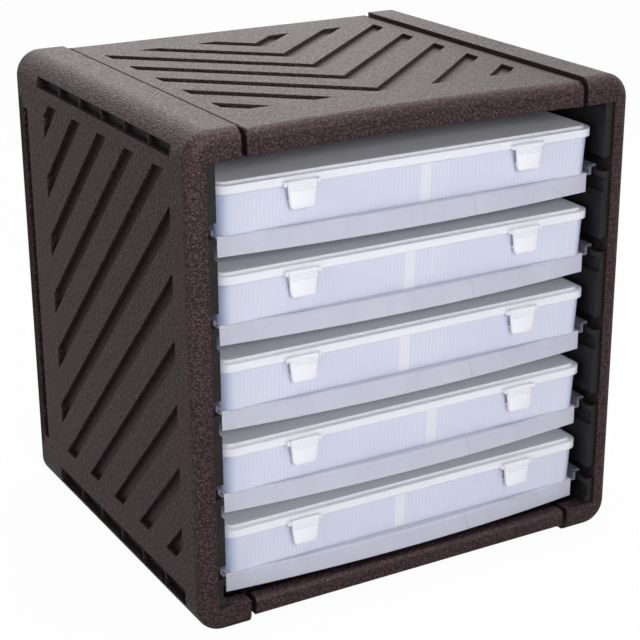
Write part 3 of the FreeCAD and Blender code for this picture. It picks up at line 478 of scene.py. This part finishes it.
class RACK_OT_boxes(RackFinish, bpy.types.Operator):
    """Milky plastic with fine upright ribs on the five boxes"""

    bl_idname = "rack.boxes"
    bl_label = "Finish boxes"

    def make(self, colours, sizes):
        for k in LEVELS:
            dress([f"box_base_{k}"], self.wall(colours, sizes, k))

    def wall(self, colours, sizes, k):
        """Box plastic, paler where its divider's flanges touch the wall, bluer at its ends."""
        f = Finish(f"box_plastic_{k}")
        ribs = self.ribs(f, sizes.rib_pitch)
        cloud = f.noise(18, detail=3.0, rough=0.55)
        ribbing = ribs * 0.55 + cloud * 0.45
        tone = f.blend(ribbing, (*colours.box, 1), (*colours.box_rib, 1))
        band = self.divider_band(f, *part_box(f"divider_{k}"))
        tone = f.blend(band * 0.55, tone, (*colours.latch, 1))
        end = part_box(f"box_base_{k}")[1].x
        tint = abs(f.x).ramp(end - sizes.corner, end)
        tone = f.blend(tint * 0.6, tone, (*colours.box_corner, 1))
        height = ribs + f.noise(700, detail=1.0) * 0.15
        return f.surface(
            base_color=tone,
            roughness=0.30 + 0.14 * cloud,
            ior=MILKY_IOR,
            subsurface_weight=0.6,
            subsurface_radius=(1.0, 1.0, 1.0),
            subsurface_scale=sizes.haze,
            normal=f.relief(height, sizes.rib_depth, strength=0.5, edge=sizes.edge * 0.7),
        )

    def ribs(self, f, pitch):
        """Fine upright ribs round the box walls, stronger in some places than in others."""
        turn = 2 * math.pi / pitch
        across = (abs(f.ny) > FACING) * (f.x * turn).sine()
        along = (abs(f.nx) > FACING) * (f.y * turn).sine()
        strength = f.noise(11, detail=2.0, rough=0.6, place=f.stretched(1, 1, 0.05))
        return ((across + along) * 0.5 + 0.5) * strength.ramp(0.35, 0.65, 0.25, 1.0)

    def divider_band(self, f, low, high):
        """1 on the front and rear wall where a divider's flanges lie behind it."""
        half = (high.x - low.x) / 2
        inside, outside = BAND_SIDE
        below, above = BAND_TOP
        band = abs(f.x - (low.x + high.x) / 2).fall(half - inside, half + outside)
        return band * (abs(f.ny) > FACING) * f.z.fall(high.z - below, high.z + above)


class RACK_OT_dividers(RackFinish, bpy.types.Operator):
    """Milky plates on the five dividers"""

    bl_idname = "rack.dividers"
    bl_label = "Finish dividers"

    def make(self, colours, sizes):
        f = Finish("divider_plastic")
        cloud = f.noise(40, detail=3.0, rough=0.6)
        skin = f.noise(600, detail=1.0)
        material = f.surface(
            base_color=f.blend(cloud, (*colours.latch, 1), (*colours.lid, 1)),
            roughness=0.32 + 0.15 * cloud,
            ior=MILKY_IOR,
            normal=f.relief(skin, 0.00008, strength=0.5, edge=sizes.edge * 0.4),
        )
        dress((f"divider_{k}" for k in LEVELS), material)


class RACK_OT_lids(RackFinish, bpy.types.Operator):
    """Smooth milky plastic on the five lids, whiter on their flat tops as painted light, and bluer
    at their ends
    """

    bl_idname = "rack.lids"
    bl_label = "Finish lids"

    def make(self, colours, sizes):
        f = Finish("lid_plastic")
        cloud = f.noise(7, detail=1.0)
        sheen = f.noise(160, detail=2.0, rough=0.5, place=f.stretched(0.15, 1, 1))
        mottle = cloud * 0.6 + sheen * 0.4
        tone = f.blend(mottle, (*colours.lid, 1), (*colours.latch, 1))
        # Painted light: faces turned up take the whiter top colour.
        lit_flat_top = (f.nz > FACING) * (0.8 + 0.2 * cloud)
        tone = f.blend(lit_flat_top, tone, (*colours.lit_lid_top, 1))
        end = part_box("box_lid_1")[1].x
        tint = abs(f.x).ramp(end - sizes.corner * 0.6, end)
        tone = f.blend(tint * 0.5, tone, (*colours.box_corner, 1))
        height = sheen + f.noise(500, detail=1.0) * 0.4
        material = f.surface(
            base_color=tone,
            roughness=0.29 + 0.09 * cloud,
            ior=MILKY_IOR,
            subsurface_weight=0.25,
            subsurface_radius=(1.0, 1.0, 1.0),
            subsurface_scale=sizes.haze,
            normal=f.relief(height, 0.00008, strength=0.5, edge=sizes.edge),
        )
        dress((f"box_lid_{k}" for k in LEVELS), material)


class RACK_OT_latches(RackFinish, bpy.types.Operator):
    """White flap latches, with a moulded face plate and grip ridges on each"""

    bl_idname = "rack.latches"
    bl_label = "Finish latches"

    def make(self, colours, sizes):
        material = self.plastic(colours, sizes)
        first = self.face(sizes, *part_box("latch_left_1"))
        first.data.materials.append(material)
        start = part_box("latch_left_1")[0]
        for side in SIDES:
            for k in LEVELS:
                name = f"latch_{side}_{k}"
                dress([name], material)
                copy = bpy.data.objects.new(name + "_face", first.data.copy())
                copy.data.transform(Matrix.Translation(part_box(name)[0] - start))
                bpy.context.scene.collection.objects.link(copy)
                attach(copy, name)
        bpy.data.objects.remove(first)

    def plastic(self, colours, sizes):
        f = Finish("latch_plastic")
        cloud = f.noise(120, detail=3.0, rough=0.6)
        skin = f.noise(900, detail=1.0)
        return f.surface(
            base_color=f.blend(cloud * 0.5, (*colours.latch, 1), (*colours.lid, 1)),
            roughness=0.29 + 0.16 * cloud,
            ior=MILKY_IOR,
            normal=f.relief(skin, 0.00006, strength=0.5, edge=sizes.edge * 0.4),
        )

    def face(self, sizes, low, high):
        """Ridges across the head of a flap and a plate below them, joined in one piece."""
        middle = (low.x + high.x) / 2
        width = high.x - low.x
        thick = sizes.latch_proud + SUNK
        centre_y = low.y - sizes.latch_proud / 2 + SUNK / 2
        first_ridge = high.z - RIDGE_DROP
        parts = []
        for k in range(RIDGES):
            place = (middle, centre_y, first_ridge - k * sizes.ridge_pitch)
            size = (width * (0.985 - 0.02 * k), thick, sizes.ridge_pitch * 0.5)
            parts.append(moulded_plate(place, size, taper=0.995, corner=0.0002, ease=0.00018))
        top, foot = first_ridge - PLATE_DROP * sizes.ridge_pitch, low.z + PLATE_FOOT
        place = (middle, centre_y, (top + foot) / 2)
        size = (width * 0.90, thick, top - foot)
        parts.append(moulded_plate(place, size, taper=0.88, corner=0.0016, ease=0.00025))
        bpy.ops.object.select_all(action="DESELECT")
        for part in parts:
            part.select_set(True)
        bpy.context.view_layer.objects.active = parts[0]
        bpy.ops.object.join()
        bpy.ops.object.shade_smooth_by_angle(angle=SMOOTH_ANGLE)
        return bpy.context.object


def choose(piece, kind, test):
    """In edit mode, selects only the vertices, edges or faces that pass a test."""
    bpy.ops.mesh.select_mode(type=kind)
    bpy.ops.mesh.select_all(action="DESELECT")
    form = bmesh.from_edit_mesh(piece.data)
    for part in {"VERT": form.verts, "EDGE": form.edges, "FACE": form.faces}[kind]:
        part.select_set(test(part))
    form.select_flush_mode()
    bmesh.update_edit_mesh(piece.data)


def moulded_plate(place, size, taper, corner, ease):
    """Upright plate that narrows downwards, with rounded lower corners and an eased front."""

    def low_point(vert):
        return vert.co.z < place[2]

    def low_corner(edge):
        one, other = edge.verts
        return low_point(one) and low_point(other) and abs(one.co.x - other.co.x) < UPRIGHT

    bpy.ops.object.select_all(action="DESELECT")
    bpy.ops.mesh.primitive_cube_add(size=1, location=place, scale=size)
    bpy.ops.object.transform_apply(location=True, rotation=True, scale=True)
    piece = bpy.context.object
    bpy.ops.object.mode_set(mode="EDIT")
    choose(piece, "VERT", low_point)
    bpy.ops.transform.resize(value=(taper, 1, 1), center_override=place)
    choose(piece, "EDGE", low_corner)
    bpy.ops.mesh.bevel(offset=corner, segments=4, affect="EDGES")
    choose(piece, "FACE", lambda face: face.normal.y < -SQUARE)
    bpy.ops.mesh.region_to_loop()
    bpy.ops.mesh.bevel(offset=ease, segments=2, affect="EDGES")
    bpy.ops.object.mode_set(mode="OBJECT")
    return piece


def ray_kinds(tree):
    """Two switches: rays straight from the camera, and rays by reflection or through a piece."""
    eye, gloss, through = tree.node(
        "ShaderNodeLightPath", out=("Is Camera Ray", "Is Glossy Ray", "Is Transmission Ray")
    )
    return eye, gloss.most(through)


class RACK_OT_stage(RackFinish, bpy.types.Operator):
    """White studio: floor that keeps a faint shadow, soft lamps and the camera"""

    bl_idname = "rack.stage"
    bl_label = "Set stage"

    def make(self, colours, sizes):
        scene = bpy.context.scene
        scene.view_settings.view_transform = "Standard"
        self.sky(scene)
        self.ground(sizes.floor)
        for lamp in LAMPS:
            self.lamp(scene, *lamp)
        self.camera(scene)

    def sky(self, scene):
        """White to the eye, weaker as light, and weakest on the left."""
        scene.world = bpy.data.worlds.new("studio")
        tree = NodeTree(scene.world)
        eye, gloss = ray_kinds(tree)
        toward = tree.node("ShaderNodeTexCoord", out="Generated")
        right = tree.node("ShaderNodeSeparateXYZ", None, {0: toward})
        light = (SKY_FILL + gloss * SKY_GLOSS) * right.ramp(*SKY_TURN, SKY_LEFT, 1.0)
        inputs = {"Color": WHITE, "Strength": eye.most(light)}
        shell = tree.node("ShaderNodeBackground", None, inputs)
        tree.node("ShaderNodeOutputWorld", None, {"Surface": shell})

    def ground(self, half):
        """White paper floor that keeps a faint shadow."""
        bpy.ops.object.select_all(action="DESELECT")
        bpy.ops.mesh.primitive_plane_add(size=2 * half, location=(0, 0, CAD_BOX[0].z))
        floor = bpy.context.object
        floor.name = "studio_floor"
        material = bpy.data.materials.new("studio_paper")
        tree = NodeTree(material)
        eye, gloss = ray_kinds(tree)
        paper = tree.node("ShaderNodeBsdfDiffuse", None, {"Color": PAPER})
        inputs = {"Color": WHITE, "Strength": eye + gloss * GLOSS_GLOW}
        glow = tree.node("ShaderNodeEmission", None, inputs)
        inputs = {0: eye * FLOOR_SEEN + gloss * FLOOR_GLOSS, 1: paper, 2: glow}
        shown = tree.node("ShaderNodeMixShader", None, inputs)
        tree.node("ShaderNodeOutputMaterial", None, {"Surface": shown})
        floor.data.materials.append(material)

    def lamp(self, scene, name, place, size, watts, tint):
        data = bpy.data.lights.new(name, "AREA")
        data.size = size
        data.energy = watts
        data.color = tint
        lamp = bpy.data.objects.new(name, data)
        lamp.location = place
        lamp.rotation_euler = (LAMP_AIM - Vector(place)).to_track_quat("-Z", "Y").to_euler()
        scene.collection.objects.link(lamp)

    def camera(self, scene):
        data = bpy.data.cameras.new("camera")
        data.sensor_width = CAMERA_SENSOR
        data.lens = CAMERA_LENS
        data.clip_end = CAMERA_FAR
        camera = bpy.data.objects.new("camera", data)
        scene.collection.objects.link(camera)
        camera.matrix_world = (
            Matrix.Translation(CAMERA_PLACE)
            @ Matrix.Rotation(CAMERA_TURN, 4, "Z")
            @ Matrix.Rotation(CAMERA_TILT, 4, "X")
            @ Matrix.Rotation(CAMERA_ROLL, 4, "Z")
        )
        scene.camera = camera


OPERATORS = (
    RACK_OT_cabinet,
    RACK_OT_runners,
    RACK_OT_shelves,
    RACK_OT_boxes,
    RACK_OT_dividers,
    RACK_OT_lids,
    RACK_OT_latches,
    RACK_OT_stage,
)


class RACK_PT_sidebar(bpy.types.Panel):
    """Lists the colours, the sizes and the steps that dress the rack"""

    bl_idname = "RACK_PT_sidebar"
    bl_label = "Box Rack"
    bl_space_type = "VIEW_3D"
    bl_region_type = "UI"
    bl_category = "Box Rack"

    def draw(self, context):
        for group in (context.scene.rack_colours, context.scene.rack_sizes):
            for name in group.__annotations__:
                self.layout.prop(group, name)
        for operator in OPERATORS:
            self.layout.operator(operator.bl_idname)


CLASSES = (RackColours, RackSizes, *OPERATORS, RACK_PT_sidebar)


def register():
    for each in CLASSES:
        bpy.utils.register_class(each)
    bpy.types.Scene.rack_colours = bpy.props.PointerProperty(type=RackColours)
    bpy.types.Scene.rack_sizes = bpy.props.PointerProperty(type=RackSizes)


def unregister():
    del bpy.types.Scene.rack_sizes
    del bpy.types.Scene.rack_colours
    for each in reversed(CLASSES):
        bpy.utils.unregister_class(each)


def main():
    register()
    for operator in OPERATORS:
        group, name = operator.bl_idname.split(".")
        getattr(getattr(bpy.ops, group), name)()


if __name__ == "__main__":
    main()
